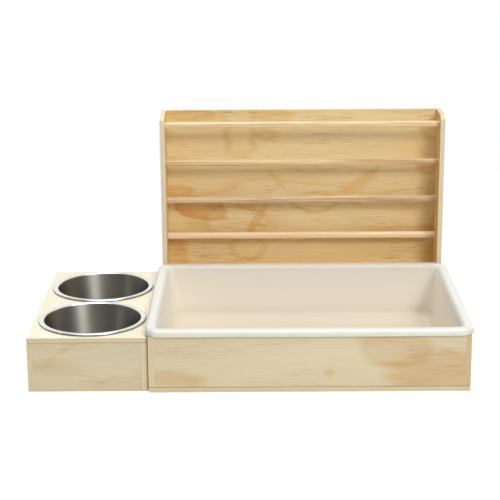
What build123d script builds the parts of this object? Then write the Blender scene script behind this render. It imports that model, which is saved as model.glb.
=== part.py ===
from build123d import *
import os
from math import cos, radians, sin, tan

# Hay feeder station for small pets, in two plywood modules that stand side by side:
#   - a tray box with a lift-out litter tray, and a slatted hay rack screwed to its back;
#   - a lower bowl box at its left, with two lift-out steel bowls in its top panel.
# Boards are butt-jointed, glued and pinned; the slats are housed in the rack's sides.
# Millimetres. +X to the right, +Y to the rack at the back, +Z up.
# The origin is the middle of the tray box's underside, on the floor.

# ---------------------------------------------------------------- driving sizes
PLY = 8.0                     # thickness of every plywood panel

TRAY_BOX_W = 480.0            # tray box, outside
TRAY_BOX_D = 360.0
TRAY_BOX_H = 88.0

BOWL_BOX_STEP = 3.0           # bowl box top below the tray box's, so that the tray's rim clears it
BOWL_BOX_SETBACK = 6.3        # its front stands this far behind the tray box's front
MODULE_GAP = 0.8              # air between the two modules

RACK_INSET = 1.0              # rack's side boards inside the tray box's sides
RACK_DEPTH = 62.0             # clear depth, from the side boards' front edges to the back panel
RACK_H = 352.0
RACK_CORNER_R = 10.0          # rounded top front corner of a side board
RACK_FLOOR_DROP = 12.0        # rack floor's top below the top of the tray box

SLAT_COUNT = 4
SLAT_H = 10.0                 # section of a slat
SLAT_D = 12.0
SLAT_EDGE_R = 3.0
SLAT_TOP_DROP = 18.0          # middle of the top slat below the top of the rack
SLAT_LOW_RISE = 46.5          # middle of the lowest slat above the tray box
SLAT_SETBACK = 13.0           # top slat's front face behind the side boards' front edges
SLAT_BACK_GAP = 10.0          # lowest slat's back face to the back panel
HOUSING_DEPTH = 3.0           # socket for a slat's end in a side board
HOUSING_CLEARANCE = 0.3       # socket wall to slat

TRAY_WALL = 2.5               # litter tray, it stands on the bottom panel
TRAY_SIDE_CLEARANCE = 1.0     # tray wall to box wall, at the rim
TRAY_DRAFT_INSET = 8.0        # how far each wall leans in between rim and floor
TRAY_RIM_OVERHANG = 4.7       # rim beyond the outside of the box, at the front and the sides
TRAY_RIM_DEPTH = 10.7         # height of the turned-down rim
TRAY_RIM_GAP = 0.3            # rim's lower edge above the top of the box
TRAY_RIM_R = 22.0             # plan radius of the rim's corners
TRAY_TOP_CORNER_R = 14.0      # plan radius of the walls' corners, at the rim
TRAY_FLOOR_CORNER_R = 24.0    # and at the floor
TRAY_FLOOR_FILLET = 9.0
TRAY_RIM_OUTER_FILLET = 5.0
TRAY_RIM_INNER_FILLET = 3.5
TRAY_BACK_GAP = 1.0           # rim to the rack's front edges

BOWL_MOUTH_R = 73.8
BOWL_FLANGE = 8.7             # mouth to the outside of the rolled edge
BOWL_DEPTH = 60.0
BOWL_STEEL = 0.8
BOWL_BEAD_R = 1.4             # rolled edge
BOWL_LIP_R = 2.0              # bend under the flange
BOWL_FOOT_R = 14.0            # bend between wall and bottom
BOWL_FLARE = 12.0             # lean of the wall, degrees
BOWL_SPACING = 4.0            # between the two rims
BOWL_SIDE_MARGIN = 7.5        # rim to the edges of the top panel
BOWL_FRONT_MARGIN = 5.5
BOWL_BACK_MARGIN = 10.5
BOWL_HOLE_CLEARANCE = 1.0     # neck of the bowl to the hole in the panel
BOWL_SEAT_GAP = 0.2           # rolled edge above the panel

SCREW_R = 1.5                 # countersunk wood screws between tray box and rack
SCREW_L = 30.0
SCREW_HEAD_R = 3.0
SCREW_COUNT = 4
SCREW_INSET = 56.0            # first screw from the end of the board
PILOT_CLEARANCE = 0.05        # screw to the wood around it

# ---------------------------------------------------------------- sizes that follow
TRAY_BOX_FRONT_Y = -TRAY_BOX_D / 2
TRAY_BOX_BACK_Y = TRAY_BOX_D / 2
TRAY_BOX_INNER_W = TRAY_BOX_W - 2 * PLY
TRAY_BOX_BOARD_H = TRAY_BOX_H - PLY           # its boards stand on the bottom panel

BOWL_RIM_R = BOWL_MOUTH_R + BOWL_FLANGE
BOWL_PITCH = 2 * BOWL_RIM_R + BOWL_SPACING
BOWL_HOLE_R = BOWL_MOUTH_R + BOWL_STEEL + BOWL_HOLE_CLEARANCE

BOWL_BOX_W = 2 * (BOWL_RIM_R + BOWL_SIDE_MARGIN)
BOWL_BOX_D = BOWL_FRONT_MARGIN + BOWL_PITCH + 2 * BOWL_RIM_R + BOWL_BACK_MARGIN
BOWL_BOX_H = TRAY_BOX_H - BOWL_BOX_STEP
BOWL_BOX_X = -TRAY_BOX_W / 2 - MODULE_GAP - BOWL_BOX_W / 2
BOWL_BOX_FRONT_Y = TRAY_BOX_FRONT_Y + BOWL_BOX_SETBACK
BOWL_BOX_Y = BOWL_BOX_FRONT_Y + BOWL_BOX_D / 2
BOWL_BOX_INNER_W = BOWL_BOX_W - 2 * PLY
BOWL_BOX_BOARD_H = BOWL_BOX_H - PLY           # its boards carry the top panel
BOWL_RIM_TOP_Z = BOWL_BOX_H + BOWL_SEAT_GAP + 2 * BOWL_BEAD_R
FRONT_BOWL_Y = BOWL_BOX_FRONT_Y + BOWL_FRONT_MARGIN + BOWL_RIM_R
REAR_BOWL_Y = FRONT_BOWL_Y + BOWL_PITCH

RACK_INNER_W = TRAY_BOX_W - 2 * RACK_INSET - 2 * PLY
RACK_FLOOR_TOP = TRAY_BOX_H - RACK_FLOOR_DROP
RACK_BACK_MID_Y = TRAY_BOX_BACK_Y + RACK_DEPTH + PLY / 2
SLAT_LENGTH = RACK_INNER_W + 2 * HOUSING_DEPTH
SLAT_TOP_Z = RACK_H - SLAT_TOP_DROP
SLAT_PITCH = (SLAT_TOP_Z - TRAY_BOX_H - SLAT_LOW_RISE) / (SLAT_COUNT - 1)
SLAT_LEAN = (RACK_DEPTH - SLAT_SETBACK - SLAT_D - SLAT_BACK_GAP) / (SLAT_COUNT - 1)
SLAT_PLACES = [
    (TRAY_BOX_BACK_Y + SLAT_SETBACK + i * SLAT_LEAN + SLAT_D / 2, SLAT_TOP_Z - i * SLAT_PITCH)
    for i in range(SLAT_COUNT)
]

TRAY_RIM_UNDER_Z = TRAY_BOX_H + TRAY_RIM_GAP
TRAY_TOP_Z = TRAY_RIM_UNDER_Z + TRAY_RIM_DEPTH
TRAY_H = TRAY_TOP_Z - PLY
TRAY_RIM_W = TRAY_BOX_W + 2 * TRAY_RIM_OVERHANG
TRAY_RIM_FRONT_Y = TRAY_BOX_FRONT_Y - TRAY_RIM_OVERHANG
TRAY_RIM_D = TRAY_BOX_BACK_Y - TRAY_BACK_GAP - TRAY_RIM_FRONT_Y
TRAY_Y = TRAY_RIM_FRONT_Y + TRAY_RIM_D / 2
TRAY_FLANGE = TRAY_RIM_OVERHANG + PLY + TRAY_SIDE_CLEARANCE     # rim's edge to the wall
TRAY_BODY_W = TRAY_RIM_W - 2 * TRAY_FLANGE
TRAY_BODY_D = TRAY_RIM_D - 2 * TRAY_FLANGE

SCREW_STEP = (TRAY_BOX_INNER_W - 2 * SCREW_INSET) / (SCREW_COUNT - 1)
SCREW_XS = [-TRAY_BOX_INNER_W / 2 + SCREW_INSET + i * SCREW_STEP for i in range(SCREW_COUNT)]

ON_FACE = (Align.CENTER, Align.CENTER, Align.MIN)


def board(width, depth, height, x, y, z):
    """A square-edged panel, centred on x and y and standing on z."""
    return Pos(x, y, z) * Box(width, depth, height, align=ON_FACE)


# ---------------------------------------------------------------- tray box
def tray_box_bottom():
    return board(TRAY_BOX_W, TRAY_BOX_D, PLY, 0, 0, 0)


def tray_box_side(side):
    """Left (-1) or right (1) side board, full depth."""
    return board(PLY, TRAY_BOX_D, TRAY_BOX_BOARD_H, side * (TRAY_BOX_W - PLY) / 2, 0, PLY)


def tray_box_front():
    return board(TRAY_BOX_INNER_W, PLY, TRAY_BOX_BOARD_H, 0, TRAY_BOX_FRONT_Y + PLY / 2, PLY)


def tray_box_back():
    """Back board, countersunk from inside the box for the screws into the rack floor."""
    panel = board(TRAY_BOX_INNER_W, PLY, TRAY_BOX_BOARD_H, 0, TRAY_BOX_BACK_Y - PLY / 2, PLY)
    return panel - rack_screws(PILOT_CLEARANCE)


# ---------------------------------------------------------------- screws between box and rack
def rack_screws(clearance=0.0):
    """Countersunk screws, or with a clearance the holes that they sit in."""
    radius = SCREW_R + clearance
    head_radius = SCREW_HEAD_R + clearance
    cone = Cone(head_radius, radius, SCREW_HEAD_R - SCREW_R, align=ON_FACE)
    shank = Cylinder(radius, SCREW_L + clearance, align=ON_FACE)
    screw = cone + shank
    head_y = TRAY_BOX_BACK_Y - PLY
    middle_z = RACK_FLOOR_TOP - PLY / 2
    return [Plane(origin=(x, head_y, middle_z), z_dir=(0, 1, 0)) * screw for x in SCREW_XS]


# ---------------------------------------------------------------- litter tray
def tray_outline(z, skin):
    """Plan outline of the tray's walls at height z, moved in by skin."""
    share = (TRAY_TOP_Z - z) / TRAY_H
    inset = share * TRAY_DRAFT_INSET + skin
    radius = TRAY_TOP_CORNER_R + share * (TRAY_FLOOR_CORNER_R - TRAY_TOP_CORNER_R) - skin
    outline = RectangleRounded(TRAY_BODY_W - 2 * inset, TRAY_BODY_D - 2 * inset, radius)
    return Pos(0, TRAY_Y, z) * outline


def tray_form(floor_z, skin, bend):
    """The drafted form from floor_z to the rim, with a round bend at the floor."""
    form = loft([tray_outline(floor_z, skin), tray_outline(TRAY_TOP_Z, skin)], ruled=True)
    return fillet(form.faces().sort_by(Axis.Z)[0].edges(), bend)


def rim_form(skin, top_z, bend):
    """A slab with the rim's outline, moved in by skin, with a round top edge."""
    outline = RectangleRounded(TRAY_RIM_W - 2 * skin, TRAY_RIM_D - 2 * skin, TRAY_RIM_R - skin)
    slab = extrude(Pos(0, TRAY_Y, TRAY_RIM_UNDER_Z) * outline, top_z - TRAY_RIM_UNDER_Z)
    return fillet(slab.faces().sort_by(Axis.Z)[-1].edges(), bend)


def litter_tray():
    """Moulded tray of even wall: drafted walls, and a rim turned down into an open channel."""
    body = tray_form(PLY, 0, TRAY_FLOOR_FILLET + TRAY_WALL)
    cavity = tray_form(PLY + TRAY_WALL, TRAY_WALL, TRAY_FLOOR_FILLET)
    rim = rim_form(0, TRAY_TOP_Z, TRAY_RIM_OUTER_FILLET)
    channel = rim_form(TRAY_WALL, TRAY_TOP_Z - TRAY_WALL, TRAY_RIM_OUTER_FILLET - TRAY_WALL)
    tray = (rim - channel) + body - cavity
    mouth = tray.faces().sort_by(Axis.Z)[-1].inner_wires()[0]
    return fillet(mouth.edges(), TRAY_RIM_INNER_FILLET)


# ---------------------------------------------------------------- hay rack
def slat_section(y, z, clearance=0.0):
    outline = RectangleRounded(
        SLAT_D + 2 * clearance,
        SLAT_H + 2 * clearance,
        SLAT_EDGE_R + clearance,
    )
    return Plane.YZ.offset(-SLAT_LENGTH / 2) * Pos(y, z) * outline


def hay_slat(y, z):
    """A pine strip with round edges, its ends housed in the side boards."""
    return extrude(slat_section(y, z), SLAT_LENGTH)


def rack_side(side):
    """Left (-1) or right (1) side board, from the floor up, with a socket for each slat."""
    outline = Pos(TRAY_BOX_BACK_Y, 0) * Rectangle(RACK_DEPTH + PLY, RACK_H, align=Align.MIN)
    top_front = outline.vertices().group_by(Axis.Y)[-1].sort_by(Axis.X)[0]
    outline = fillet(top_front, RACK_CORNER_R)
    panel = extrude(Plane.YZ.offset(side * RACK_INNER_W / 2) * outline, side * PLY)
    sockets = [extrude(slat_section(y, z, HOUSING_CLEARANCE), SLAT_LENGTH) for y, z in SLAT_PLACES]
    return panel - sockets


def rack_back():
    return board(RACK_INNER_W, PLY, RACK_H, 0, RACK_BACK_MID_Y, 0)


def rack_floor():
    """Catches what falls through the hay; its front edge takes the screws."""
    middle_y = TRAY_BOX_BACK_Y + RACK_DEPTH / 2
    panel = board(RACK_INNER_W, RACK_DEPTH, PLY, 0, middle_y, RACK_FLOOR_TOP - PLY)
    return panel - rack_screws(PILOT_CLEARANCE)


# ---------------------------------------------------------------- bowl box
def bowl_box_top():
    """Top panel, over all four boards, with a round hole for each bowl."""
    panel = board(BOWL_BOX_W, BOWL_BOX_D, PLY, BOWL_BOX_X, BOWL_BOX_Y, BOWL_BOX_BOARD_H)
    hole = Cylinder(BOWL_HOLE_R, 4 * PLY)
    return panel - [Pos(BOWL_BOX_X, y, BOWL_BOX_H) * hole for y in (FRONT_BOWL_Y, REAR_BOWL_Y)]


def bowl_box_side(side):
    x = BOWL_BOX_X + side * (BOWL_BOX_W - PLY) / 2
    return board(PLY, BOWL_BOX_D, BOWL_BOX_BOARD_H, x, BOWL_BOX_Y, 0)


def bowl_box_end(end):
    """Front (-1) or back (1) board, between the sides."""
    y = BOWL_BOX_Y + end * (BOWL_BOX_D - PLY) / 2
    return board(BOWL_BOX_INNER_W, PLY, BOWL_BOX_BOARD_H, BOWL_BOX_X, y, 0)


# ---------------------------------------------------------------- steel bowls
def bowl_skin(lip, foot, offset):
    """One skin of the section: bottom, foot bend, wall, lip bend and flange.

    lip and foot are the bends' centres; offset is 0 outside and the steel's thickness inside.
    """
    flare = radians(BOWL_FLARE)
    foot_r = BOWL_FOOT_R - offset
    lip_r = BOWL_LIP_R + offset
    wall_low = (foot[0] + foot_r * cos(flare), foot[1] - foot_r * sin(flare))
    wall_high = (lip[0] - lip_r * cos(flare), lip[1] + lip_r * sin(flare))
    return [
        Line((0, offset - BOWL_DEPTH), (foot[0], offset - BOWL_DEPTH)),
        CenterArc(foot, foot_r, -90, 90 - BOWL_FLARE),
        Line(wall_low, wall_high),
        CenterArc(lip, lip_r, 180 - BOWL_FLARE, BOWL_FLARE - 90),
        Line((lip[0], offset - BOWL_STEEL), (BOWL_RIM_R - BOWL_BEAD_R, offset - BOWL_STEEL)),
    ]


def bowl(y):
    """Pressed steel bowl: flared wall, flat flange, and a rolled edge that rests on the panel."""
    flare = radians(BOWL_FLARE)
    lip = (BOWL_MOUTH_R + BOWL_LIP_R + BOWL_STEEL, -BOWL_LIP_R - BOWL_STEEL)
    foot_z = BOWL_FOOT_R - BOWL_DEPTH
    wall_high = (lip[0] - BOWL_LIP_R * cos(flare), lip[1] + BOWL_LIP_R * sin(flare))
    foot_x = wall_high[0] - BOWL_FOOT_R / cos(flare) - (wall_high[1] - foot_z) * tan(flare)
    foot = (foot_x, foot_z)
    bead_x = BOWL_RIM_R - BOWL_BEAD_R
    ends = [
        Line((0, -BOWL_DEPTH), (0, BOWL_STEEL - BOWL_DEPTH)),
        Line((bead_x, -BOWL_STEEL), (bead_x, 0)),
    ]
    sheet = make_face(bowl_skin(lip, foot, 0) + bowl_skin(lip, foot, BOWL_STEEL) + ends)
    bead = Pos(bead_x, -BOWL_BEAD_R) * Circle(BOWL_BEAD_R)
    section = Plane.XZ * (sheet + bead)
    return Pos(BOWL_BOX_X, y, BOWL_RIM_TOP_Z) * revolve(section, Axis.Z)


# ---------------------------------------------------------------- one file for each node
def write(name, shape):
    export_step(shape, f"parts/{name}.step")


os.makedirs("parts", exist_ok=True)

write("tray_box_bottom", tray_box_bottom())
write("tray_box_left", tray_box_side(-1))
write("tray_box_right", tray_box_side(1))
write("tray_box_front", tray_box_front())
write("tray_box_back", tray_box_back())
write("rack_screws", Compound([screw.solid() for screw in rack_screws()]))
write("litter_tray", litter_tray())

write("rack_left", rack_side(-1))
write("rack_right", rack_side(1))
write("rack_back", rack_back())
write("rack_floor", rack_floor())
for number, (slat_y, slat_z) in enumerate(SLAT_PLACES, start=1):
    write(f"hay_slat_{number}", hay_slat(slat_y, slat_z))

write("bowl_box_top", bowl_box_top())
write("bowl_box_left", bowl_box_side(-1))
write("bowl_box_right", bowl_box_side(1))
write("bowl_box_front", bowl_box_end(-1))
write("bowl_box_back", bowl_box_end(1))
write("front_bowl", bowl(FRONT_BOWL_Y))
write("rear_bowl", bowl(REAR_BOWL_Y))
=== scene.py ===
from math import cos, pi, radians, sin

import bmesh
import bpy
from mathutils import Matrix, Vector


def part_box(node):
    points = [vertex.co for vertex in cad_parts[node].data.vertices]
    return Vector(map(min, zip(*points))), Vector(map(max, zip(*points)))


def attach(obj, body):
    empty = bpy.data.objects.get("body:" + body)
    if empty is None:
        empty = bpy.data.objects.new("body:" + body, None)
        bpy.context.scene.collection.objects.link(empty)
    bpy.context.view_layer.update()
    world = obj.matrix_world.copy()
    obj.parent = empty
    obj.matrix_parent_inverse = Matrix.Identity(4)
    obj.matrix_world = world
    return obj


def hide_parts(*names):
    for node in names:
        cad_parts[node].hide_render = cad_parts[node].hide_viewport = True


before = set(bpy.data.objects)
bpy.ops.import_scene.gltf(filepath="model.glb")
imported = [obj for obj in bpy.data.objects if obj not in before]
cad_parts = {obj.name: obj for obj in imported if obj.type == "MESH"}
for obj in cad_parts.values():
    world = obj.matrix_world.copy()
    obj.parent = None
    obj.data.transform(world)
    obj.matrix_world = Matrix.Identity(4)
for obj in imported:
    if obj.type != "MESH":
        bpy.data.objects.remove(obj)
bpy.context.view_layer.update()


# ------------------------------------------------------------------ tray box
# Five boards of 8 mm pine plywood, butted and pinned: the bottom lies under all four sides, and
# the front and back boards stand between the side boards. Bare wood, sanded by hand, so every
# edge is eased a little and shows its five plies, and every joint shows as a dark hairline.
MM = 0.001
EASED = 0.25 * MM
JOINT = 0.4 * MM
VENEER = 2.5 * MM
X, Y, Z = 0, 1, 2


def linear(code):
    """An sRGB hex colour as the linear RGBA that a shader takes."""
    channels = [int(code[i:i + 2], 16) / 255 for i in (0, 2, 4)]
    return tuple(c / 12.92 if c <= 0.04045 else ((c + 0.055) / 1.055) ** 2.4 for c in channels) + (1.0,)


def node(tree, kind, feeds=None, stops=(), out=0, **settings):
    """Adds a shader node and gives back one of its outputs. feeds gives each input its value or
    the output that drives it, and stops are the places and colours of a colour ramp."""
    made = tree.nodes.new("ShaderNode" + kind)
    for name, value in settings.items():
        setattr(made, name, value)
    for socket, value in (feeds or {}).items():
        if isinstance(value, bpy.types.NodeSocket):
            tree.links.new(value, made.inputs[socket])
        else:
            made.inputs[socket].default_value = value
    for place, colour in stops[2:]:
        made.color_ramp.elements.new(place)
    for element, (place, colour) in zip(made.color_ramp.elements if stops else (), stops):
        element.position = place
        element.color = linear(colour)
    return made.outputs[out]


def material(name):
    """A new material, with its tree and its surface shader."""
    made = bpy.data.materials.new(name)
    made.use_nodes = True
    return made, made.node_tree, made.node_tree.nodes["Principled BSDF"]


def grain_space(tree, along, across, seed):
    """Object coordinates turned so that X runs along the fibres and Y across them, in metres."""
    spot = node(tree, "TexCoord", out="Object")
    axes = node(tree, "SeparateXYZ", {0: spot}).node.outputs
    depth = ({X, Y, Z} - {along, across}).pop()
    turned = node(tree, "CombineXYZ", {0: axes[along], 1: axes[across], 2: axes[depth]})
    return spot, node(tree, "VectorMath", {0: turned, 1: (seed * 0.371, seed * 0.173, seed * 0.619)})


def pine_veneer(name, along, across, seed, pale="E6DBBB", ripe="D9C298", figure=0.35, streak=1.0,
                front=0.0, marks=()):
    """Rotary-cut pine veneer: wandering rings that show as thin latewood lines, soft on one side
    and crisp on the other, over fine fibres with short dark flecks. marks are patches and loops of
    heartwood, and some of painted shade, in the veneer at y = front: the x and z of the middle, the
    half sizes in x and z, the lean in degrees, the tint, and how far in and out of the outline it
    fades, as shares of the half sizes."""
    made, tree, shader = material(name)
    spot, grain = grain_space(tree, along, across, seed)
    # rings wander over 60 mm across the grain and seven times that along it
    stretched = node(tree, "VectorMath", {0: grain, 1: (2.4, 16.0, 16.0)}, operation="MULTIPLY")
    height = node(tree, "TexNoise", {"Vector": stretched, "Scale": 1.0, "Detail": 2.0, "Roughness": 0.4,
                                     "Distortion": 0.5})
    # streaks: 3 mm apart and 70 mm long, with finer ones inside them
    streaks = node(tree, "VectorMath", {0: grain, 1: (14.0, 300.0, 300.0)}, operation="MULTIPLY")
    streaks = node(tree, "TexNoise", {"Vector": streaks, "Scale": 1.0, "Detail": 4.0, "Roughness": 0.65,
                                      "Distortion": 0.2})
    ring = node(tree, "Math", {0: streaks, 1: 0.025, 2: height}, operation="MULTIPLY_ADD")
    ring = node(tree, "Math", {0: ring, 1: 3.0}, operation="MULTIPLY")
    ring = node(tree, "Math", {0: ring}, operation="FRACT")
    ring = node(tree, "ValToRGB", {0: ring}, stops=[(0.0, "585858"), (0.05, "181818"), (0.60, "202020"),
                                                   (0.82, "505050"), (0.96, "E0E0E0"), (1.0, "A0A0A0")])
    # flecks: 25 mm long and a millimetre wide, in drifts
    fleck = node(tree, "VectorMath", {0: grain, 1: (36.0, 900.0, 900.0)}, operation="MULTIPLY")
    fleck = node(tree, "TexNoise", {"Vector": fleck, "Scale": 1.0, "Detail": 1.0})
    drift = node(tree, "TexNoise", {"Vector": stretched, "Scale": 2.3, "Detail": 1.0})
    fleck = node(tree, "Math", {0: drift, 1: 0.55, 2: fleck}, operation="MULTIPLY_ADD")
    fleck = node(tree, "MapRange", {"Value": fleck, "From Min": 0.88, "From Max": 1.02})
    tone = node(tree, "TexNoise", {"Vector": stretched, "Scale": 0.9, "Detail": 3.0, "Roughness": 0.55})
    # rings, broad tones and streaks each bring their share of the way from pale to ripe wood
    tone_share, streak_share, swing = 0.9, 0.55 * streak, 0.42
    middle = 0.5 * tone_share + 0.5 * streak_share + 0.3 * figure
    amount = node(tree, "Math", {0: ring, 1: figure}, operation="MULTIPLY")
    amount = node(tree, "Math", {0: tone, 1: tone_share, 2: amount}, operation="MULTIPLY_ADD")
    amount = node(tree, "Math", {0: streaks, 1: streak_share, 2: amount}, operation="MULTIPLY_ADD")
    colour = node(tree, "MapRange", {"Value": amount, "From Min": middle - swing,
                                     "From Max": middle + swing})
    colour = node(tree, "ValToRGB", {0: colour}, stops=[(0.0, pale), (1.0, ripe)])
    dark = node(tree, "Math", {0: fleck, 1: 0.35 * streak}, operation="MULTIPLY")
    colour = node(tree, "MixRGB", {0: dark, 1: colour, 2: linear("AC8850")})
    # a mark's outline wanders with this noise, and the broad tones break up its tint
    wander = 1.2
    outline = 1 + wander / 2
    wild = node(tree, "TexNoise", {"Vector": stretched, "Scale": 3.0, "Detail": 3.0, "Roughness": 0.6})
    broken = node(tree, "MapRange", {"Value": tone, "From Min": 0.36, "From Max": 0.56, "To Min": 0.45})
    for x, z, half_x, half_z, lean, tint, inner, outer in marks:
        off = node(tree, "VectorMath", {0: spot, 1: (x, front, z)}, operation="SUBTRACT")
        off = node(tree, "VectorRotate", {"Vector": off, "Angle": radians(lean)}, rotation_type="Y_AXIS")
        off = node(tree, "VectorMath", {0: off, 1: (half_x, VENEER, half_z)}, operation="DIVIDE")
        reach = node(tree, "VectorMath", {0: off}, out="Value", operation="LENGTH")
        reach = node(tree, "Math", {0: wild, 1: wander, 2: reach}, operation="MULTIPLY_ADD")
        start = outline - 1 + inner
        inside = node(tree, "MapRange", {"Value": reach, "From Min": start, "From Max": outline})
        beyond = node(tree, "MapRange", {"Value": reach, "From Min": outline + outer,
                                         "From Max": outline})
        patch = node(tree, "Math", {0: inside, 1: beyond}, operation="MULTIPLY")
        patch = node(tree, "Math", {0: patch, 1: broken}, operation="MULTIPLY")
        colour = node(tree, "MixRGB", {0: patch, 1: colour, 2: linear(tint)}, blend_type="MULTIPLY")
    tree.links.new(colour, shader.inputs["Base Color"])
    rough = node(tree, "MapRange", {"Value": streaks, "To Min": 0.42, "To Max": 0.60})
    tree.links.new(rough, shader.inputs["Roughness"])
    relief = node(tree, "Math", {0: fleck, 1: -0.8, 2: streaks}, operation="MULTIPLY_ADD")
    bump = node(tree, "Bump", {"Height": relief, "Strength": 0.3, "Distance": 0.2 * MM})
    tree.links.new(bump, shader.inputs["Normal"])
    return made


def ply_edge_material(name, tint):
    """Sawn edge of five-ply board: long-grain plies pale, end-grain plies brown and open, with a
    thin dark glue line between them. The tint is the colour of the wood over them all."""
    made, tree, shader = material(name)
    place = node(tree, "SeparateXYZ", {0: node(tree, "UVMap", uv_map="ply")}).node.outputs
    along, depth = place[0], place[1]
    plies = node(tree, "ValToRGB", {0: depth}, stops=[
        (0.0, "E9DDBC"), (0.18, "E5D8B6"), (0.21, "C9B283"), (0.24, "DECDA6"), (0.385, "DBC9A1"),
        (0.42, "C2A878"), (0.45, "E6DAB8"), (0.55, "E6DAB8"), (0.585, "C2A878"), (0.62, "DBC9A1"),
        (0.765, "DECDA6"), (0.80, "C9B283"), (0.83, "E5D8B6"), (1.0, "E9DDBC")])
    # saw marks: 6 mm long, and a ninth of the board's thickness apart
    along = node(tree, "Math", {0: along, 1: 160.0}, operation="MULTIPLY")
    across = node(tree, "Math", {0: depth, 1: 9.0}, operation="MULTIPLY")
    saw = node(tree, "CombineXYZ", {0: along, 1: across})
    saw = node(tree, "TexNoise", {"Vector": saw, "Scale": 1.0, "Detail": 3.0})
    shade = node(tree, "MapRange", {"Value": saw, "To Min": 0.86, "To Max": 1.06})
    colour = node(tree, "VectorMath", {0: plies, 1: shade}, operation="MULTIPLY")
    colour = node(tree, "VectorMath", {0: colour, 1: tint}, operation="MULTIPLY")
    tree.links.new(colour, shader.inputs["Base Color"])
    shader.inputs["Roughness"].default_value = 0.62
    bump = node(tree, "Bump", {"Height": saw, "Strength": 0.3, "Distance": 0.15 * MM})
    tree.links.new(bump, shader.inputs["Normal"])
    return made


def finish_piece(name, bm, body, slot, *looks, smooth=None):
    """Makes the piece from its bmesh, with its materials, on the body that carries it."""
    mesh = bpy.data.meshes.new(name)
    bm.to_mesh(mesh)
    bm.free()
    for look in looks:
        mesh.materials.append(look)
    if smooth:
        mesh.polygons.foreach_set("use_smooth", [True] * len(mesh.polygons))
        mesh.set_sharp_from_angle(angle=radians(smooth))
    piece = bpy.data.objects.new(name, mesh)
    bpy.context.scene.collection.objects.link(piece)
    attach(piece, body)
    return piece


FACING = 0.75      # a face is turned to an axis when its normal has more than this along it


def show_plies(bm, low, high, flat):
    """Gives the faces across the plies the edge material, with UVs across the board's thickness."""
    layer = bm.loops.layers.uv.new("ply")
    long_axis = max({X, Y, Z} - {flat}, key=lambda axis: high[axis] - low[axis])
    for face in bm.faces:
        face.material_index = 0 if abs(face.normal[flat]) > FACING else 1
        for corner in face.loops:
            spot = corner.vert.co
            other = spot[long_axis] + 0.7 * spot[3 - flat - long_axis]
            corner[layer].uv = (other, (spot[flat] - low[flat]) / (high[flat] - low[flat]))


def joint_box(node_name):
    """The node's box, drawn in by a hair so that its joints show as lines: by JOINT above and
    below, and by a fifth of it at the upright corners."""
    low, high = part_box(node_name)
    hair = Vector((JOINT / 5, JOINT / 5, JOINT))
    return low + hair, high - hair


def board(node_name, body, slot, flat, face_look, trim=0.0, edge_look=None):
    """A square board in its node's place. flat is the axis across its plies, and trim is taken off
    its right side."""
    low, high = joint_box(node_name)
    high.x -= trim
    bm = bmesh.new()
    place = Matrix.Translation((low + high) / 2) @ Matrix.Diagonal((*(high - low), 1))
    bmesh.ops.create_cube(bm, size=1, matrix=place)
    bmesh.ops.bevel(bm, geom=bm.edges[:], offset=EASED, affect="EDGES", segments=2, profile=0.5,
                    material=-1)
    show_plies(bm, low, high, flat)
    piece = finish_piece(node_name + "_board", bm, body, slot, face_look, edge_look or ply_edge)
    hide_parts(node_name)
    return piece


ply_edge = ply_edge_material("pine plywood, sawn edge", (1.08, 1.07, 1.07))
board("tray_box_bottom", "feeder", "box_ply", Z, pine_veneer("pine plywood, tray box bottom", X, Y, 1))
board("tray_box_left", "feeder", "box_ply", X, pine_veneer("pine plywood, tray box left", Y, Z, 2))
board("tray_box_right", "feeder", "box_ply", X, pine_veneer("pine plywood, tray box right", Y, Z, 3),
      edge_look=ply_edge_material("pine plywood, sawn edge, tray box right", (0.96, 0.86, 0.74)))
board("tray_box_front", "feeder", "box_ply", Y,
      pine_veneer("pine plywood, tray box front", X, Z, 4,
                  streak=0.7, front=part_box("tray_box_front")[0].y, marks=[
                      (0.124, 0.070, 0.046, 0.027, 0, "F1DEC4", -9.0, 0.4),
                      (0.195, 0.031, 0.072, 0.030, 0, "F0DBBE", -9.0, 0.4),
                      (-0.215, 0.016, 0.050, 0.014, 0, "F2E1CA", -9.0, 0.5),
                      (0.029, 0.031, 0.0028, 0.0022, 0, "F2EAC9", -9.0, 3.0)]))
board("tray_box_back", "feeder", "box_ply", Y, pine_veneer("pine plywood, tray box back", X, Z, 5))


# bright drawn wire, a grey glint with a slight blur
brad_steel, tree, shader = material("steel wire, bright drawn")
spot = node(tree, "TexCoord", out="Object")
drawn = node(tree, "TexNoise", {"Vector": spot, "Scale": 700.0, "Detail": 2.0})
shader.inputs["Base Color"].default_value = linear("B4B2AC")
shader.inputs["Metallic"].default_value = 1.0
rough = node(tree, "MapRange", {"Value": drawn, "To Min": 0.30, "To Max": 0.55})
tree.links.new(rough, shader.inputs["Roughness"])

HEAD_LOW, HEAD_TOP = 1.0, 0.8       # radius at the wood and on top, in mm
HEAD_DEPTH, HEAD_SUNK = 0.5, 0.1    # thickness, and how far in its middle is


def brads(name, body, slot, outward, spots):
    """Round heads of 1.2 mm wire brads, 2 mm across, driven in until they stand 0.15 mm off the
    wood. spots are in mm, on the face of the board."""
    bm = bmesh.new()
    turned = Vector((0, 0, 1)).rotation_difference(Vector(outward)).to_matrix().to_4x4()
    for spot in spots:
        place = Matrix.Translation((Vector(spot) - HEAD_SUNK * Vector(outward)) * MM) @ turned
        bmesh.ops.create_cone(bm, cap_ends=True, segments=12, radius1=HEAD_LOW * MM,
                              radius2=HEAD_TOP * MM, depth=HEAD_DEPTH * MM, matrix=place)
    finish_piece(name, bm, body, slot, brad_steel, smooth=30)


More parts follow.
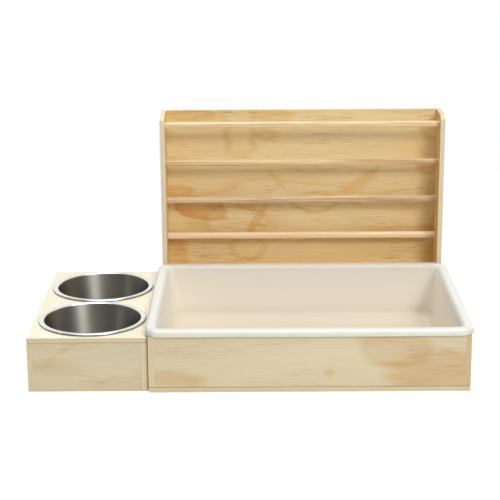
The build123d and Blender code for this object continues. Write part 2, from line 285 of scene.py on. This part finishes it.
TRAY_BOX_SIDE = 240
SIDE_BRADS = [(y, z) for y in (-176, 176) for z in (22, 48, 74)]
UNDER_BRADS = [(x, y, 0.35) for x in range(-180, 181, 90) for y in (-176, 176)]
UNDER_BRADS += [(x, y, 0.35) for x in (-236, 236) for y in (-120, 0, 120)]
for side, sign in (("left", -1), ("right", 1)):
    brads(f"tray_box_brads_{side}", "feeder", "zinc_screw", (sign, 0, 0),
          [(sign * TRAY_BOX_SIDE, y, z) for y, z in SIDE_BRADS])
brads("tray_box_brads_under", "feeder", "zinc_screw", (0, 0, -1), UNDER_BRADS)


# ------------------------------------------------------------------ hay rack
# Two upright boards, a back panel between them and a floor board above the litter tray's level,
# of the same plywood in a warmer veneer. The side boards' top front corners are sawn round.
RACK_CORNER = 10 * MM


def rack_side(node_name, outward, inner_look, edge_look, outer_look):
    """An upright board with a round top front corner. outward is the sign of its outer face's X."""
    low, high = joint_box(node_name)
    bm = bmesh.new()
    place = Matrix.Translation((low + high) / 2) @ Matrix.Diagonal((*(high - low), 1))
    bmesh.ops.create_cube(bm, size=1, matrix=place)
    corner = [e for e in bm.edges
              if all(v.co.y < low.y + EASED and v.co.z > high.z - EASED for v in e.verts)]
    bmesh.ops.bevel(bm, geom=corner, offset=RACK_CORNER, affect="EDGES", segments=10, profile=0.5,
                    material=-1)
    rims = [e for e in bm.edges if e.calc_face_angle() > radians(30)]
    bmesh.ops.bevel(bm, geom=rims, offset=EASED, affect="EDGES", segments=2, profile=0.5, material=-1)
    show_plies(bm, low, high, X)
    for face in bm.faces:
        if face.normal.x * outward > FACING:
            face.material_index = 2
    piece = finish_piece(node_name + "_board", bm, "feeder", "rack_ply",
                         inner_look, edge_look, outer_look)
    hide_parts(node_name)


RACK_PALE, RACK_RIPE = "ECD8A7", "DFB571"
rack_side("rack_left", -1, pine_veneer("pine plywood, rack left inside", Z, Y, 6, RACK_PALE, RACK_RIPE),
          ply_edge_material("pine plywood, sawn edge, rack left", (1.16, 1.17, 1.32)),
          pine_veneer("pine plywood, rack left outside", Z, Y, 16))
# the right board's inside is painted darker and warmer than the left's: painted shade on the face turned
# away from the key lamp
rack_side("rack_right", 1, pine_veneer("pine plywood, rack right inside", Z, Y, 7, "E4CA92", "D0A762"),
          ply_edge_material("pine plywood, sawn edge, rack right", (1.06, 1.10, 1.22)),
          pine_veneer("pine plywood, rack right outside", Z, Y, 17))
board("rack_back", "feeder", "rack_ply", Y,
      pine_veneer("pine plywood, rack back", X, Z, 8, RACK_PALE, RACK_RIPE, figure=0.45, streak=1.4,
                  front=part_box("rack_back")[0].y, marks=[
                      (-0.173, 0.182, 0.044, 0.022, -10, "EDC392", -0.4, 0.16),
                      (-0.214, 0.209, 0.024, 0.011, 0, "F5DBB2", -1.0, 0.4),
                      (-0.116, 0.158, 0.046, 0.027, 0, "F5E6CA", 0.85, 1.2),
                      (-0.078, 0.156, 0.021, 0.0045, 58, "EFCC9A", -9.0, 1.0),
                      (-0.090, 0.178, 0.020, 0.0035, -16, "F3DCB4", -9.0, 1.0),
                      (-0.105, 0.318, 0.027, 0.046, 0, "F6EACE", 0.65, 0.3),
                      (-0.038, 0.225, 0.022, 0.0035, -50, "F9ECD0", -9.0, 0.9),
                      (0.022, 0.190, 0.036, 0.018, 0, "EED3A0", 0.6, 0.3),
                      (-0.093, 0.108, 0.030, 0.017, 0, "EFDCB2", 0.7, 0.3),
                      (0.100, 0.222, 0.028, 0.007, 38, "F7E6C2", -2.0, 0.8),
                      (-0.192, 0.344, 0.036, 0.008, 0, "F6DFB6", -1.0, 0.6),
                      (-0.046, 0.341, 0.024, 0.008, 0, "F7E6C2", -1.0, 0.6),
                      (-0.058, 0.308, 0.014, 0.008, 0, "F7ECD2", -1.0, 0.9),
                      # the last three marks are painted shade, darker patches in the corners against the
                      # side boards: two under the slats' right ends, one low at the left
                      (0.223, 0.315, 0.016, 0.014, 0, "EECE9A", -1.0, 0.6),
                      (0.222, 0.249, 0.016, 0.009, 0, "EECE9A", -1.0, 0.6),
                      (-0.228, 0.100, 0.026, 0.030, 0, "F2CCA0", -1.0, 0.5)]))
board("rack_floor", "feeder", "rack_ply", Z,
      pine_veneer("pine plywood, rack floor", X, Y, 9, RACK_PALE, RACK_RIPE))

RACK_SIDE = 239
RACK_BRADS = [(246, z) for z in (30, 103, 176, 249, 322)] + [(197, 72), (229, 72)]
for side, sign in (("left", -1), ("right", 1)):
    brads(f"rack_brads_{side}", "feeder", "zinc_screw", (sign, 0, 0),
          [(sign * RACK_SIDE, y, z) for y, z in RACK_BRADS])


# zinc plating, a bluish glint that its fine crystals scatter
zinc, tree, shader = material("steel, zinc plated")
spot = node(tree, "TexCoord", out="Object")
crystals = node(tree, "TexNoise", {"Vector": spot, "Scale": 900.0, "Detail": 2.0})
shader.inputs["Base Color"].default_value = linear("C9C7C0")
shader.inputs["Metallic"].default_value = 1.0
rough = node(tree, "MapRange", {"Value": crystals, "To Min": 0.25, "To Max": 0.45})
tree.links.new(rough, shader.inputs["Roughness"])
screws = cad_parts["rack_screws"]
screws.data.materials.clear()
screws.data.materials.append(zinc)


# ------------------------------------------------------------------ hay slats
# Four strips of planed pine, 12 by 10 mm with rounded edges, one behind the other up the rack.
# Their ends sit in shallow sockets in the side boards.
SLAT_ROUND = 3 * MM


def pine_strip(seed, pale, ripe):
    """Planed solid pine, flat-sawn: pinkish, with long ring lines and darker streaks."""
    made, tree, shader = material(f"planed pine, slat {seed}")
    spot, grain = grain_space(tree, X, Z, 20 + seed)
    bent = node(tree, "VectorMath", {0: grain, 1: (3.0, 60.0, 60.0)}, operation="MULTIPLY")
    sway = node(tree, "TexNoise", {"Vector": bent, "Scale": 1.0, "Detail": 2.0})
    lines = node(tree, "VectorMath", {0: grain, 1: (8.0, 420.0, 300.0)}, operation="MULTIPLY")
    lines = node(tree, "TexNoise", {"Vector": lines, "Scale": 1.0, "Detail": 3.0, "Roughness": 0.6,
                                    "Distortion": 0.6})
    amount = node(tree, "Math", {0: sway, 1: 0.7, 2: lines}, operation="MULTIPLY_ADD")
    colour = node(tree, "MapRange", {"Value": amount, "From Min": 0.60, "From Max": 1.08})
    colour = node(tree, "ValToRGB", {0: colour}, stops=[(0.0, pale), (1.0, ripe)])
    tree.links.new(colour, shader.inputs["Base Color"])
    shader.inputs["Roughness"].default_value = 0.5
    bump = node(tree, "Bump", {"Height": lines, "Strength": 0.3, "Distance": 0.15 * MM})
    tree.links.new(bump, shader.inputs["Normal"])
    return made


# the pale and the ripe wood of each strip, from the top one down
SLAT_TONES = [("F8E6BE", "D8B07E"), ("F0D6A8", "BA8E5C"), ("F2DAB6", "BC946E"), ("FDEDD0", "F0CCA0")]
for number, tones in enumerate(SLAT_TONES, start=1):
    name = f"hay_slat_{number}"
    low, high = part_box(name)
    bm = bmesh.new()
    place = Matrix.Translation((low + high) / 2) @ Matrix.Diagonal((*(high - low), 1))
    bmesh.ops.create_cube(bm, size=1, matrix=place)
    long_edges = [e for e in bm.edges if abs(e.verts[0].co.x - e.verts[1].co.x) > 0.1]
    bmesh.ops.bevel(bm, geom=long_edges, offset=SLAT_ROUND, affect="EDGES", segments=5, profile=0.5,
                    material=-1)
    slat = finish_piece(f"slat_strip_{number}", bm, "feeder", "slat_pine", pine_strip(number, *tones),
                        smooth=50)
    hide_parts(name)

# one brad in each end of each strip, on its middle line
TOP_SLAT_Y, TOP_SLAT_Z = 199, 334
SLAT_LEAN, SLAT_PITCH = 9, 66.5
SLAT_BRADS = [(TOP_SLAT_Y + SLAT_LEAN * row, TOP_SLAT_Z - SLAT_PITCH * row) for row in range(4)]
for side, sign in (("left", -1), ("right", 1)):
    brads(f"slat_brads_{side}", "feeder", "zinc_screw", (sign, 0, 0),
          [(sign * RACK_SIDE, y, z) for y, z in SLAT_BRADS])


# ------------------------------------------------------------------ litter tray
# A deep tray moulded in cream polypropylene, with drafted walls 2.5 mm thick, round corners and a
# broad rim turned down over the box. Satin and a little translucent, with painted light and shade in
# its colour: paler at the rim, darker low down and under the rack.
# in mm: top, floor and rim_under are heights, body and rim are outer sizes in X and Y, draft is
# how far the walls lean in at the floor, and middle is where the tray's middle lies in Y
TRAY = dict(top=99.0, floor=8.0, wall=2.5, body=(462.0, 336.3), middle=-2.85, draft=8.0,
            corners=(14.0, 24.0), floor_bend=9.0, rim=(489.4, 363.7), rim_corner=22.0,
            rim_under=88.3, rim_bend=5.0, mouth_bend=6.0)
CORNER_STEPS = 9


def tray_plastic():
    """Polypropylene: light soaks in and comes back milky, so shadows inside the tray are soft and
    warm, under a broad satin shine that the mould's sparked skin breaks up."""
    made, tree, shader = material("polypropylene, moulded, satin cream")
    spot = node(tree, "TexCoord", out="Object")
    cloud = node(tree, "TexNoise", {"Vector": spot, "Scale": 9.0, "Detail": 2.0})
    place = node(tree, "SeparateXYZ", {0: spot}).node.outputs
    # painted light and shade by height: paler toward the rim, partly the milky plastic where it is thin
    # and partly painted light, and darker and warmer low down, partly where the box's wood shows
    # through and partly painted shade; darker and warmer toward the rack as well, painted shade and a
    # painted reflection of the rack's wood
    rise = node(tree, "Math", {0: cloud, 1: 0.004, 2: place[Z]}, operation="MULTIPLY_ADD")
    back = node(tree, "MapRange", {"Value": place[Y], "From Min": 0.10, "From Max": 0.17,
                                   "To Max": 0.024})
    rise = node(tree, "Math", {0: rise, 1: back}, operation="SUBTRACT")
    # painted light: the end walls are paler near their tops, standing in for light through them
    end = node(tree, "Math", {0: place[X]}, operation="ABSOLUTE")
    end = node(tree, "ValToRGB", {0: end}, stops=[
        (0.2235, "000000"), (0.2275, "FFFFFF"), (0.2295, "FFFFFF"), (0.236, "000000")])
    rise = node(tree, "Math", {0: end, 1: 0.022, 2: rise}, operation="MULTIPLY_ADD")
    rise = node(tree, "Math", {0: rise, 1: 8.0}, operation="MULTIPLY")
    colour = node(tree, "ValToRGB", {0: rise}, stops=[
        (0.0, "E3D8C6"), (0.13, "F0E5D4"), (0.30, "F3E8D7"), (0.42, "F2E7D6"),
        (0.55, "F4EBDE"), (0.67, "F5F0E4"), (0.76, "F4F3E8"), (0.92, "F5F6EC")])
    # each painted tint starts at one height or depth in the tray and is full at the next: painted shade
    # on the floor, on the back rim under the rack and on the front rim's crown, and painted light on
    # its turned-down face
    for axis, start, full, tint in [
            (Z, 0.0180, 0.0115, "D7CCBA"),       # the floor, a shade darker than the walls
            (Y, 0.1610, 0.1660, "CBC1B0"),       # the back rim, close under the rack
            (Y, -0.1680, -0.1730, "E5E4DA"),     # the crown of the front rim
            (Y, -0.1800, -0.1842, "FFFAE4")]:    # its turned-down face, painted light
        shade = node(tree, "MapRange", {"Value": place[axis], "From Min": start, "From Max": full})
        colour = node(tree, "MixRGB", {0: shade, 1: colour, 2: linear(tint)})
    tree.links.new(colour, shader.inputs["Base Color"])
    # the mould's spark-eroded skin, 0.8 mm grains
    skin = node(tree, "TexNoise", {"Vector": spot, "Scale": 1200.0, "Detail": 2.0})
    rough = node(tree, "MapRange", {"Value": cloud, "To Min": 0.42, "To Max": 0.54})
    tree.links.new(rough, shader.inputs["Roughness"])
    bump = node(tree, "Bump", {"Height": skin, "Strength": 0.15, "Distance": 0.05 * MM})
    tree.links.new(bump, shader.inputs["Normal"])
    shader.inputs["Subsurface Weight"].default_value = 0.8
    shader.inputs["Subsurface Radius"].default_value = (1.0, 0.98, 0.94)
    shader.inputs["Subsurface Scale"].default_value = 6.5 * MM
    return made


def rounded_loop(bm, width, depth, radius, height):
    """A closed loop of edges round a rectangle with round corners, all sizes in mm."""
    place = Matrix.Translation((0, TRAY["middle"] * MM, height * MM))
    place = place @ Matrix.Diagonal((width * MM, depth * MM, 1, 1))
    grid = bmesh.ops.create_grid(bm, x_segments=1, y_segments=1, size=0.5, matrix=place)
    bmesh.ops.bevel(bm, geom=grid["verts"], offset=radius * MM, affect="VERTICES",
                    segments=CORNER_STEPS, profile=0.5, material=-1)
    face = next(f for f in bm.faces if len(f.verts) == 4 * (CORNER_STEPS + 1))
    edges = face.edges[:]
    bmesh.ops.delete(bm, geom=[face], context="FACES_ONLY")
    return edges


def wall_loop(bm, height, skin):
    """The drafted wall's outline at a height, moved in by skin."""
    share = (TRAY["top"] - height) / (TRAY["top"] - TRAY["floor"])
    inset = share * TRAY["draft"] + skin
    radius = TRAY["corners"][0] + share * (TRAY["corners"][1] - TRAY["corners"][0]) - skin
    return rounded_loop(bm, TRAY["body"][0] - 2 * inset, TRAY["body"][1] - 2 * inset, radius, height)


def rim_loop(bm, height, skin):
    """The rim's outline at a height, moved in by skin."""
    width, depth = TRAY["rim"]
    return rounded_loop(bm, width - 2 * skin, depth - 2 * skin, TRAY["rim_corner"] - skin, height)


# the section is followed from the middle of the floor, up the inside, over the rim, and back under
top, floor, wall, lip = TRAY["top"], TRAY["floor"], TRAY["wall"], TRAY["rim_under"]
bend, mouth, over = TRAY["floor_bend"], TRAY["mouth_bend"], TRAY["rim_bend"]
LEAD = 3           # flat run up to a bend
CROWN = 8.0        # width of the rim's flat top, in from its outside
CROWN_FALL = 0.3   # it slopes this much outwards
HAIR = 0.1         # keeps two loops off one plane
LIP_EASE = 0.6     # rounding of the rim's lower edge
quarter = [radians(18 * step) for step in range(6)]

bm = bmesh.new()
loops = [wall_loop(bm, floor + wall, wall + bend + LEAD)]
loops += [wall_loop(bm, floor + wall + bend * (1 - cos(a)), wall + bend * (1 - sin(a))) for a in quarter]
loops += [wall_loop(bm, top - mouth - LEAD, wall)]
loops += [wall_loop(bm, top - HAIR - mouth * (1 - sin(a)), wall - mouth * (1 - cos(a))) for a in quarter]
loops += [rim_loop(bm, top, CROWN)]
loops += [rim_loop(bm, top - CROWN_FALL - over * (1 - cos(a)), over * (1 - sin(a))) for a in quarter]
loops += [rim_loop(bm, lip + LIP_EASE, 0), rim_loop(bm, lip, LIP_EASE)]
loops += [rim_loop(bm, lip + HAIR, wall - LIP_EASE), rim_loop(bm, lip + LIP_EASE, wall)]
over -= wall
loops += [rim_loop(bm, top - wall - over * (1 - sin(a)), wall + over * (1 - cos(a))) for a in quarter]
loops += [wall_loop(bm, top - wall, -1.0), wall_loop(bm, top - wall - 1, 0)]
bend += wall
loops += [wall_loop(bm, floor + bend + LEAD, 0)]
loops += [wall_loop(bm, floor + bend * (1 - cos(a)), bend * (1 - sin(a))) for a in reversed(quarter)]
loops += [wall_loop(bm, floor, bend + LEAD)]
for one, other in zip(loops, loops[1:]):
    bmesh.ops.bridge_loops(bm, edges=one + other)
bmesh.ops.contextual_create(bm, geom=loops[0])
bmesh.ops.contextual_create(bm, geom=loops[-1])
bmesh.ops.recalc_face_normals(bm, faces=bm.faces[:])
tray = finish_piece("moulded_tray", bm, "litter_tray", "tray_plastic", tray_plastic(), smooth=50)
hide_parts("litter_tray")


# ------------------------------------------------------------------ bowl box
# Four boards with a top panel over them, open underneath. Two round holes, cut with a hole saw,
# take the bowls. It is a module of its own, pushed up against the tray box, and a dark seam
# shows between the two.
SEAM = 0.6 * MM
BOWL_X = -330.8 * MM
BOWL_YS = (-85.7 * MM, 83.3 * MM)
HOLE_R = 75.6 * MM
HOLE_STEPS = 64


def bowl_box_top():
    """The top panel: a ring of faces round each hole, then its thickness, then its eased edges."""
    low, high = joint_box("bowl_box_top")
    high.x -= SEAM
    middle = sum(BOWL_YS) / 2
    bm = bmesh.new()
    for y, near, far in ((BOWL_YS[0], low.y, middle), (BOWL_YS[1], middle, high.y)):
        place = Matrix.Translation(((low.x + high.x) / 2, (near + far) / 2, high.z))
        place = place @ Matrix.Diagonal((high.x - low.x, far - near, 1, 1))
        frame_grid = bmesh.ops.create_grid(bm, x_segments=1, y_segments=1, size=0.5, matrix=place)
        square = list({e for v in frame_grid["verts"] for e in v.link_edges})
        bmesh.ops.subdivide_edges(bm, edges=square, cuts=HOLE_STEPS // 4 - 1)
        sides = []
        for edge in bm.edges:
            ends_inside = all(near - MM < v.co.y < far + MM for v in edge.verts)
            face_inside = any(near < f.calc_center_median().y < far for f in edge.link_faces)
            if edge.is_boundary and ends_inside and face_inside:
                sides.append(edge)
        bmesh.ops.delete(bm, geom=list({f for e in sides for f in e.link_faces}), context="FACES_ONLY")
        hole = bmesh.ops.create_circle(bm, segments=HOLE_STEPS, radius=HOLE_R,
                                       matrix=Matrix.Translation((BOWL_X, y, high.z)))
        rim = list({e for v in hole["verts"] for e in v.link_edges})
        bmesh.ops.bridge_loops(bm, edges=sides + rim)
    bmesh.ops.remove_doubles(bm, verts=bm.verts[:], dist=0.1 * MM)
    bmesh.ops.recalc_face_normals(bm, faces=bm.faces[:])
    grown = bmesh.ops.extrude_face_region(bm, geom=bm.faces[:], use_keep_orig=True)
    moved = [v for v in grown["geom"] if isinstance(v, bmesh.types.BMVert)]
    bmesh.ops.translate(bm, verts=moved, vec=(0, 0, low.z - high.z))
    bmesh.ops.recalc_face_normals(bm, faces=bm.faces[:])
    rims = [e for e in bm.edges if len(e.link_faces) == 2 and e.calc_face_angle() > radians(30)]
    bmesh.ops.bevel(bm, geom=rims, offset=EASED, affect="EDGES", segments=2, profile=0.5, material=-1)
    show_plies(bm, low, high, Z)
    # painted light: this panel's veneer is paler than the other boards', for the strong light on the top
    veneer = pine_veneer("pine plywood, bowl box top", Y, X, 10, "FBF7E4", "F2E9CC",
                         figure=0.2, streak=0.6)
    piece = finish_piece("bowl_box_top_board", bm, "bowl_box", "box_ply", veneer, ply_edge)
    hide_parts("bowl_box_top")


bowl_box_top()
board("bowl_box_left", "bowl_box", "box_ply", X, pine_veneer("pine plywood, bowl box left", Y, Z, 11))
# the sawn front edge is painted paler, painted light over the shadow that the tray box's proud front
# casts on it
board("bowl_box_right", "bowl_box", "box_ply", X,
      pine_veneer("pine plywood, bowl box right", Y, Z, 12), SEAM,
      ply_edge_material("pine plywood, sawn edge, bowl box right", (1.17, 1.17, 1.21)))
board("bowl_box_front", "bowl_box", "box_ply", Y,
      pine_veneer("pine plywood, bowl box front", X, Z, 13, "E2D9BB", "D3BD93",
                  streak=1.4, front=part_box("bowl_box_front")[0].y, marks=[
                      (-0.385, 0.038, 0.036, 0.010, 0, "FAF1E2", -2.0, 0.8),
                      (-0.282, 0.011, 0.040, 0.008, 0, "FAF3E6", -2.0, 0.8)]))
board("bowl_box_back", "bowl_box", "box_ply", Y, pine_veneer("pine plywood, bowl box back", X, Z, 14))

BOWL_BOX_BRADS = [(y, z) for y in (-169.7, 172.3) for z in (15, 38, 62)]
for side, sign, x in (("left", -1, -420.8), ("right", 1, -241.4)):
    brads(f"bowl_box_brads_{side}", "bowl_box", "zinc_screw", (sign, 0, 0),
          [(x, y, z) for y, z in BOWL_BOX_BRADS])


# ------------------------------------------------------------------ bowls
# Two bowls pressed from 0.8 mm stainless steel, turned bright on the flat flange and brushed
# round and round inside, so that light draws upright bands down the wall. The flange ends in a
# rolled bead that rests on the panel.
# in mm: the top's height, the radii of rim and mouth, the depth, the sheet, the radii of bead, lip
# and foot, and then the wall's flare in degrees
BOWL = dict(top=88.0, rim=82.5, mouth=73.8, depth=60.0, steel=0.8, bead=1.4, lip=2.0, foot=14.0,
            flare=12.0)


def steel(name, rough, drawn, tone, edge="FFFFFF"):
    """Stainless steel: a grey mirror whose reflections the brushing rings draw out into upright
    bands. rough is how dull it is, drawn how strongly they are drawn out, and tone and edge are
    its tints seen straight on and at a grazing angle."""
    made, tree, shader = material(name)
    spot = node(tree, "TexCoord", out="Object")
    # brushing rings, 0.7 mm apart, drawn coarser than real ones so that they show
    rings = node(tree, "VectorMath", {0: spot, 1: (30.0, 30.0, 1400.0)}, operation="MULTIPLY")
    rings = node(tree, "TexNoise", {"Vector": rings, "Scale": 1.0, "Detail": 2.0})
    smear = node(tree, "TexNoise", {"Vector": spot, "Scale": 22.0, "Detail": 3.0})
    shader.inputs["Base Color"].default_value = linear(tone)
    shader.inputs["Metallic"].default_value = 1.0
    level = node(tree, "Math", {0: rings, 1: 0.5, 2: smear}, operation="MULTIPLY_ADD")
    level = node(tree, "MapRange", {"Value": level, "From Min": 0.4, "From Max": 1.1,
                                    "To Min": rough - 0.05, "To Max": rough + 0.07})
    tree.links.new(level, shader.inputs["Roughness"])
    bump = node(tree, "Bump", {"Height": rings, "Strength": 0.2, "Distance": 0.02 * MM})
    tree.links.new(bump, shader.inputs["Normal"])
    shader.inputs["Specular Tint"].default_value = linear(edge)
    shader.inputs["Anisotropic"].default_value = drawn
    shader.inputs["Anisotropic Rotation"].default_value = 0.25
    turned = node(tree, "Tangent", direction_type="UV_MAP", uv_map="turned")
    tree.links.new(turned, shader.inputs["Tangent"])
    return made


def run(bm, start, across, up):
    """Extrudes the profile's end vertex by a straight run, in mm."""
    new = bmesh.ops.extrude_vert_indiv(bm, verts=[start])["verts"][0]
    bmesh.ops.translate(bm, verts=[new], vec=(across * MM, 0, up * MM))
    return new


def turn(bm, start, across, up, angle, steps):
    """Spins the profile's end vertex round a centre that lies across and up from it, in mm."""
    centre = start.co + Vector((across * MM, 0, up * MM))
    spun = bmesh.ops.spin(bm, geom=[start], cent=centre, axis=(0, -1, 0), angle=radians(angle),
                          steps=steps)
    return next(v for v in spun["geom_last"] if isinstance(v, bmesh.types.BMVert))


FLOOR_LEAD = 4     # the floor's last ring before the bend, in mm
CURL = 250         # degrees that the bead is rolled through
TUCK = 1.2         # the rolled edge's end from the bead's middle, in mm


def bowl_profile(bm):
    """Inside of the bowl from the middle of its floor to the bead, then the outside back again."""
    flare = radians(BOWL["flare"])
    steel_t, lip, foot = BOWL["steel"], BOWL["lip"], BOWL["foot"]
    lip_x, lip_z = BOWL["mouth"] + lip + steel_t, -lip - steel_t
    foot_z = foot - BOWL["depth"]
    wall_x, wall_z = lip_x - lip * cos(flare), lip_z + lip * sin(flare)
    foot_x = wall_x - foot / cos(flare) - (wall_z - foot_z) * sin(flare) / cos(flare)
    inner = foot - steel_t
    bead_x = BOWL["rim"] - BOWL["bead"]
    # inside: floor, bend at the foot, flared wall, bend at the lip, flange
    end = bm.verts.new((0, 0, (steel_t - BOWL["depth"]) * MM))
    end = run(bm, end, foot_x - FLOOR_LEAD, 0)
    end = run(bm, end, FLOOR_LEAD, 0)
    end = turn(bm, end, 0, inner, 90 - BOWL["flare"], 14)
    high = Vector((lip_x - (lip + steel_t) * cos(flare), 0, lip_z + (lip + steel_t) * sin(flare)))
    rise = high - end.co / MM
    end = run(bm, end, rise.x, rise.z)
    end = turn(bm, end, (lip + steel_t) * cos(flare), -(lip + steel_t) * sin(flare),
               BOWL["flare"] - 90, 7)
    end = run(bm, end, bead_x - lip_x, 0)
    # the bead, rolled under, and outside: flange, lip, wall, foot, floor
    end = turn(bm, end, 0, -BOWL["bead"], -CURL, 12)
    rise = Vector((bead_x - TUCK, 0, -steel_t)) - end.co / MM
    end = run(bm, end, rise.x, rise.z)
    rise = Vector((lip_x, 0, -steel_t)) - end.co / MM
    end = run(bm, end, rise.x, rise.z)
    end = turn(bm, end, 0, -lip, 90 - BOWL["flare"], 6)
    low = Vector((foot_x + foot * cos(flare), 0, foot_z - foot * sin(flare)))
    rise = low - end.co / MM
    end = run(bm, end, rise.x, rise.z)
    end = turn(bm, end, -foot * cos(flare), foot * sin(flare), BOWL["flare"] - 90, 12)
    run(bm, end, -foot_x, 0)


FLANGE_IN = 0.6 * MM       # the bright flange starts this far outside the mouth
EDGE_UNDER = -1.2 * MM     # the rolled edge is unpolished below this height, and painted darker there: painted shade under the bead
WALL_UNDER = -2.9 * MM     # and the brushed wall lies below this one
UV_RADIUS = 0.07


def bowl(node_name, y, looks):
    """A bowl spun from its profile, with a UV that runs round it for the brushing. looks are its
    inside, its flange and its rolled edge."""
    bm = bmesh.new()
    bowl_profile(bm)
    bmesh.ops.spin(bm, geom=bm.verts[:] + bm.edges[:], cent=(0, 0, 0), axis=(0, 0, 1),
                   angle=2 * pi, steps=96, use_merge=True)
    bmesh.ops.remove_doubles(bm, verts=bm.verts[:], dist=0.01 * MM)
    bmesh.ops.recalc_face_normals(bm, faces=bm.faces[:])
    layer = bm.loops.layers.uv.new("turned")
    for face in bm.faces:
        centre = face.calc_center_median()
        if centre.xy.length < BOWL["mouth"] * MM + FLANGE_IN or centre.z < WALL_UNDER:
            face.material_index = 0
        else:
            face.material_index = 2 if centre.z < EDGE_UNDER else 1
        base = centre.xy.angle_signed(Vector((1, 0)), 0)
        for corner in face.loops:
            spot = corner.vert.co
            step = spot.xy.angle_signed(Vector((1, 0)), base) - base if spot.xy.length > 0.1 * MM else 0
            step = (step + pi) % (2 * pi) - pi
            corner[layer].uv = ((base + step) * UV_RADIUS, spot.z + spot.xy.length)
    bmesh.ops.translate(bm, verts=bm.verts[:], vec=(BOWL_X, y, BOWL["top"] * MM))
    piece = finish_piece(node_name + "_pressing", bm, node_name, "bowl_steel", *looks, smooth=60)
    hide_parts(node_name)


# the inside is painted darker than plain stainless steel, straight on and at a grazing angle: painted
# shade
bowl_looks = (steel("stainless steel, brushed inside", 0.43, 0.7, "928F86", "807E78"),
              steel("stainless steel, bright flange", 0.24, 0.8, "EDECE8"),
              steel("stainless steel, rolled edge, unpolished, painted shade", 0.5, 0.3, "94928B"))
bowl("front_bowl", BOWL_YS[0], bowl_looks)
bowl("rear_bowl", BOWL_YS[1], bowl_looks)


# ------------------------------------------------------------------ studio
# A plain pale floor in a white room: a broad soft lamp above and to the right of the front, a
# broader one over the top, and a weak one at the left.
def lamp(name, place, aim, size, power):
    """A square area lamp, size metres across and power watts, turned to face the point aim."""
    data = bpy.data.lights.new(name, "AREA")
    data.shape = "SQUARE"
    data.size = size
    data.energy = power
    made = bpy.data.objects.new(name, data)
    made.location = place
    made.visible_camera = False
    made.rotation_euler = (Vector(aim) - Vector(place)).to_track_quat("-Z", "Y").to_euler()
    bpy.context.scene.collection.objects.link(made)


lamp("key lamp", (1.1, -2.15, 1.85), (-0.08, 0.0, 0.15), 0.9, 42.5)
lamp("top lamp", (-0.20, -0.1, 2.1), (-0.1, 0.0, 0.0), 1.5, 30)
lamp("left lamp", (-2.45, -0.9, 0.9), (0.0, 0.0, 0.15), 0.45, 1.3)

# the room is white to the camera. Mirrors see it dim in front of the object and bright behind
# it, and it fills the shadows weakly, most from the front right
world = bpy.data.worlds.new("studio")
bpy.context.scene.world = world
world.use_nodes = True
tree = world.node_tree
rays = node(tree, "LightPath").node.outputs
mirror = node(tree, "Math", {0: rays["Is Glossy Ray"], 1: rays["Is Transmission Ray"]},
              operation="MAXIMUM")
toward = node(tree, "TexCoord", out="Generated")
depth = node(tree, "SeparateXYZ", {0: toward}, out="Y")
room = node(tree, "MapRange", {"Value": depth, "From Min": -0.3, "From Max": 0.8,
                               "To Min": 0.20, "To Max": 1.0})
FRONT_RIGHT = (0.5, -0.87, 0.0)
front = node(tree, "VectorMath", {0: toward, 1: FRONT_RIGHT}, out="Value", operation="DOT_PRODUCT")
walls = node(tree, "MapRange", {"Value": front, "From Min": -1.0, "From Max": 1.0,
                                "To Min": 0.10, "To Max": 0.25})
fill = node(tree, "Mix", {0: mirror, 2: walls, 3: room})
light = node(tree, "Mix", {0: rays["Is Camera Ray"], 2: fill, 3: 1.0})
tree.nodes["Background"].inputs["Color"].default_value = (1, 1, 1, 1)
tree.links.new(light, tree.nodes["Background"].inputs["Strength"])

# matt white paper, which the camera sees a little brighter than it lights the object
FLOOR_RADIUS = 1.7
PAPER = (0.8, 0.8, 0.8, 1)
PAPER_SEEN = (0.5, 0.5, 0.5, 1)
PAPER_GLOW = 0.74
bm = bmesh.new()
bmesh.ops.create_circle(bm, cap_ends=True, segments=96, radius=FLOOR_RADIUS)
floor_mesh = bpy.data.meshes.new("floor")
bm.to_mesh(floor_mesh)
bm.free()
paper, tree, shader = material("floor paper, white")
camera_ray = node(tree, "LightPath", out="Is Camera Ray")
shader.inputs["Roughness"].default_value = 1.0
shader.inputs["Specular IOR Level"].default_value = 0.0
tone = node(tree, "MixRGB", {0: camera_ray, 1: PAPER, 2: PAPER_SEEN})
tree.links.new(tone, shader.inputs["Base Color"])
shader.inputs["Emission Color"].default_value = (1, 1, 1, 1)
glow = node(tree, "Math", {0: camera_ray, 1: PAPER_GLOW}, operation="MULTIPLY")
tree.links.new(glow, shader.inputs["Emission Strength"])
floor_mesh.materials.append(paper)
floor = bpy.data.objects.new("floor", floor_mesh)
bpy.context.scene.collection.objects.link(floor)

bpy.context.scene.view_settings.view_transform = "Standard"

# camera: 2.2 m back and 0.78 m up, looking down by 15.5 degrees
CAMERA_PLACE = (-0.08053, -2.20698, 0.78110)
PITCH, YAW, ROLL = radians(15.463), radians(-0.199), radians(-0.367)
ahead = Vector((sin(YAW) * cos(PITCH), cos(YAW) * cos(PITCH), -sin(PITCH)))
level = Vector((cos(YAW), -sin(YAW), 0))
upward = level.cross(ahead)
side = cos(ROLL) * level + sin(ROLL) * upward
up = -sin(ROLL) * level + cos(ROLL) * upward
camera_data = bpy.data.cameras.new("camera")
camera_data.lens = 104.31
camera_data.sensor_width = 36
camera = bpy.data.objects.new("camera", camera_data)
turned = Matrix((side, up, -ahead)).transposed().to_4x4()
camera.matrix_world = Matrix.Translation(CAMERA_PLACE) @ turned
bpy.context.scene.collection.objects.link(camera)
bpy.context.scene.camera = camera
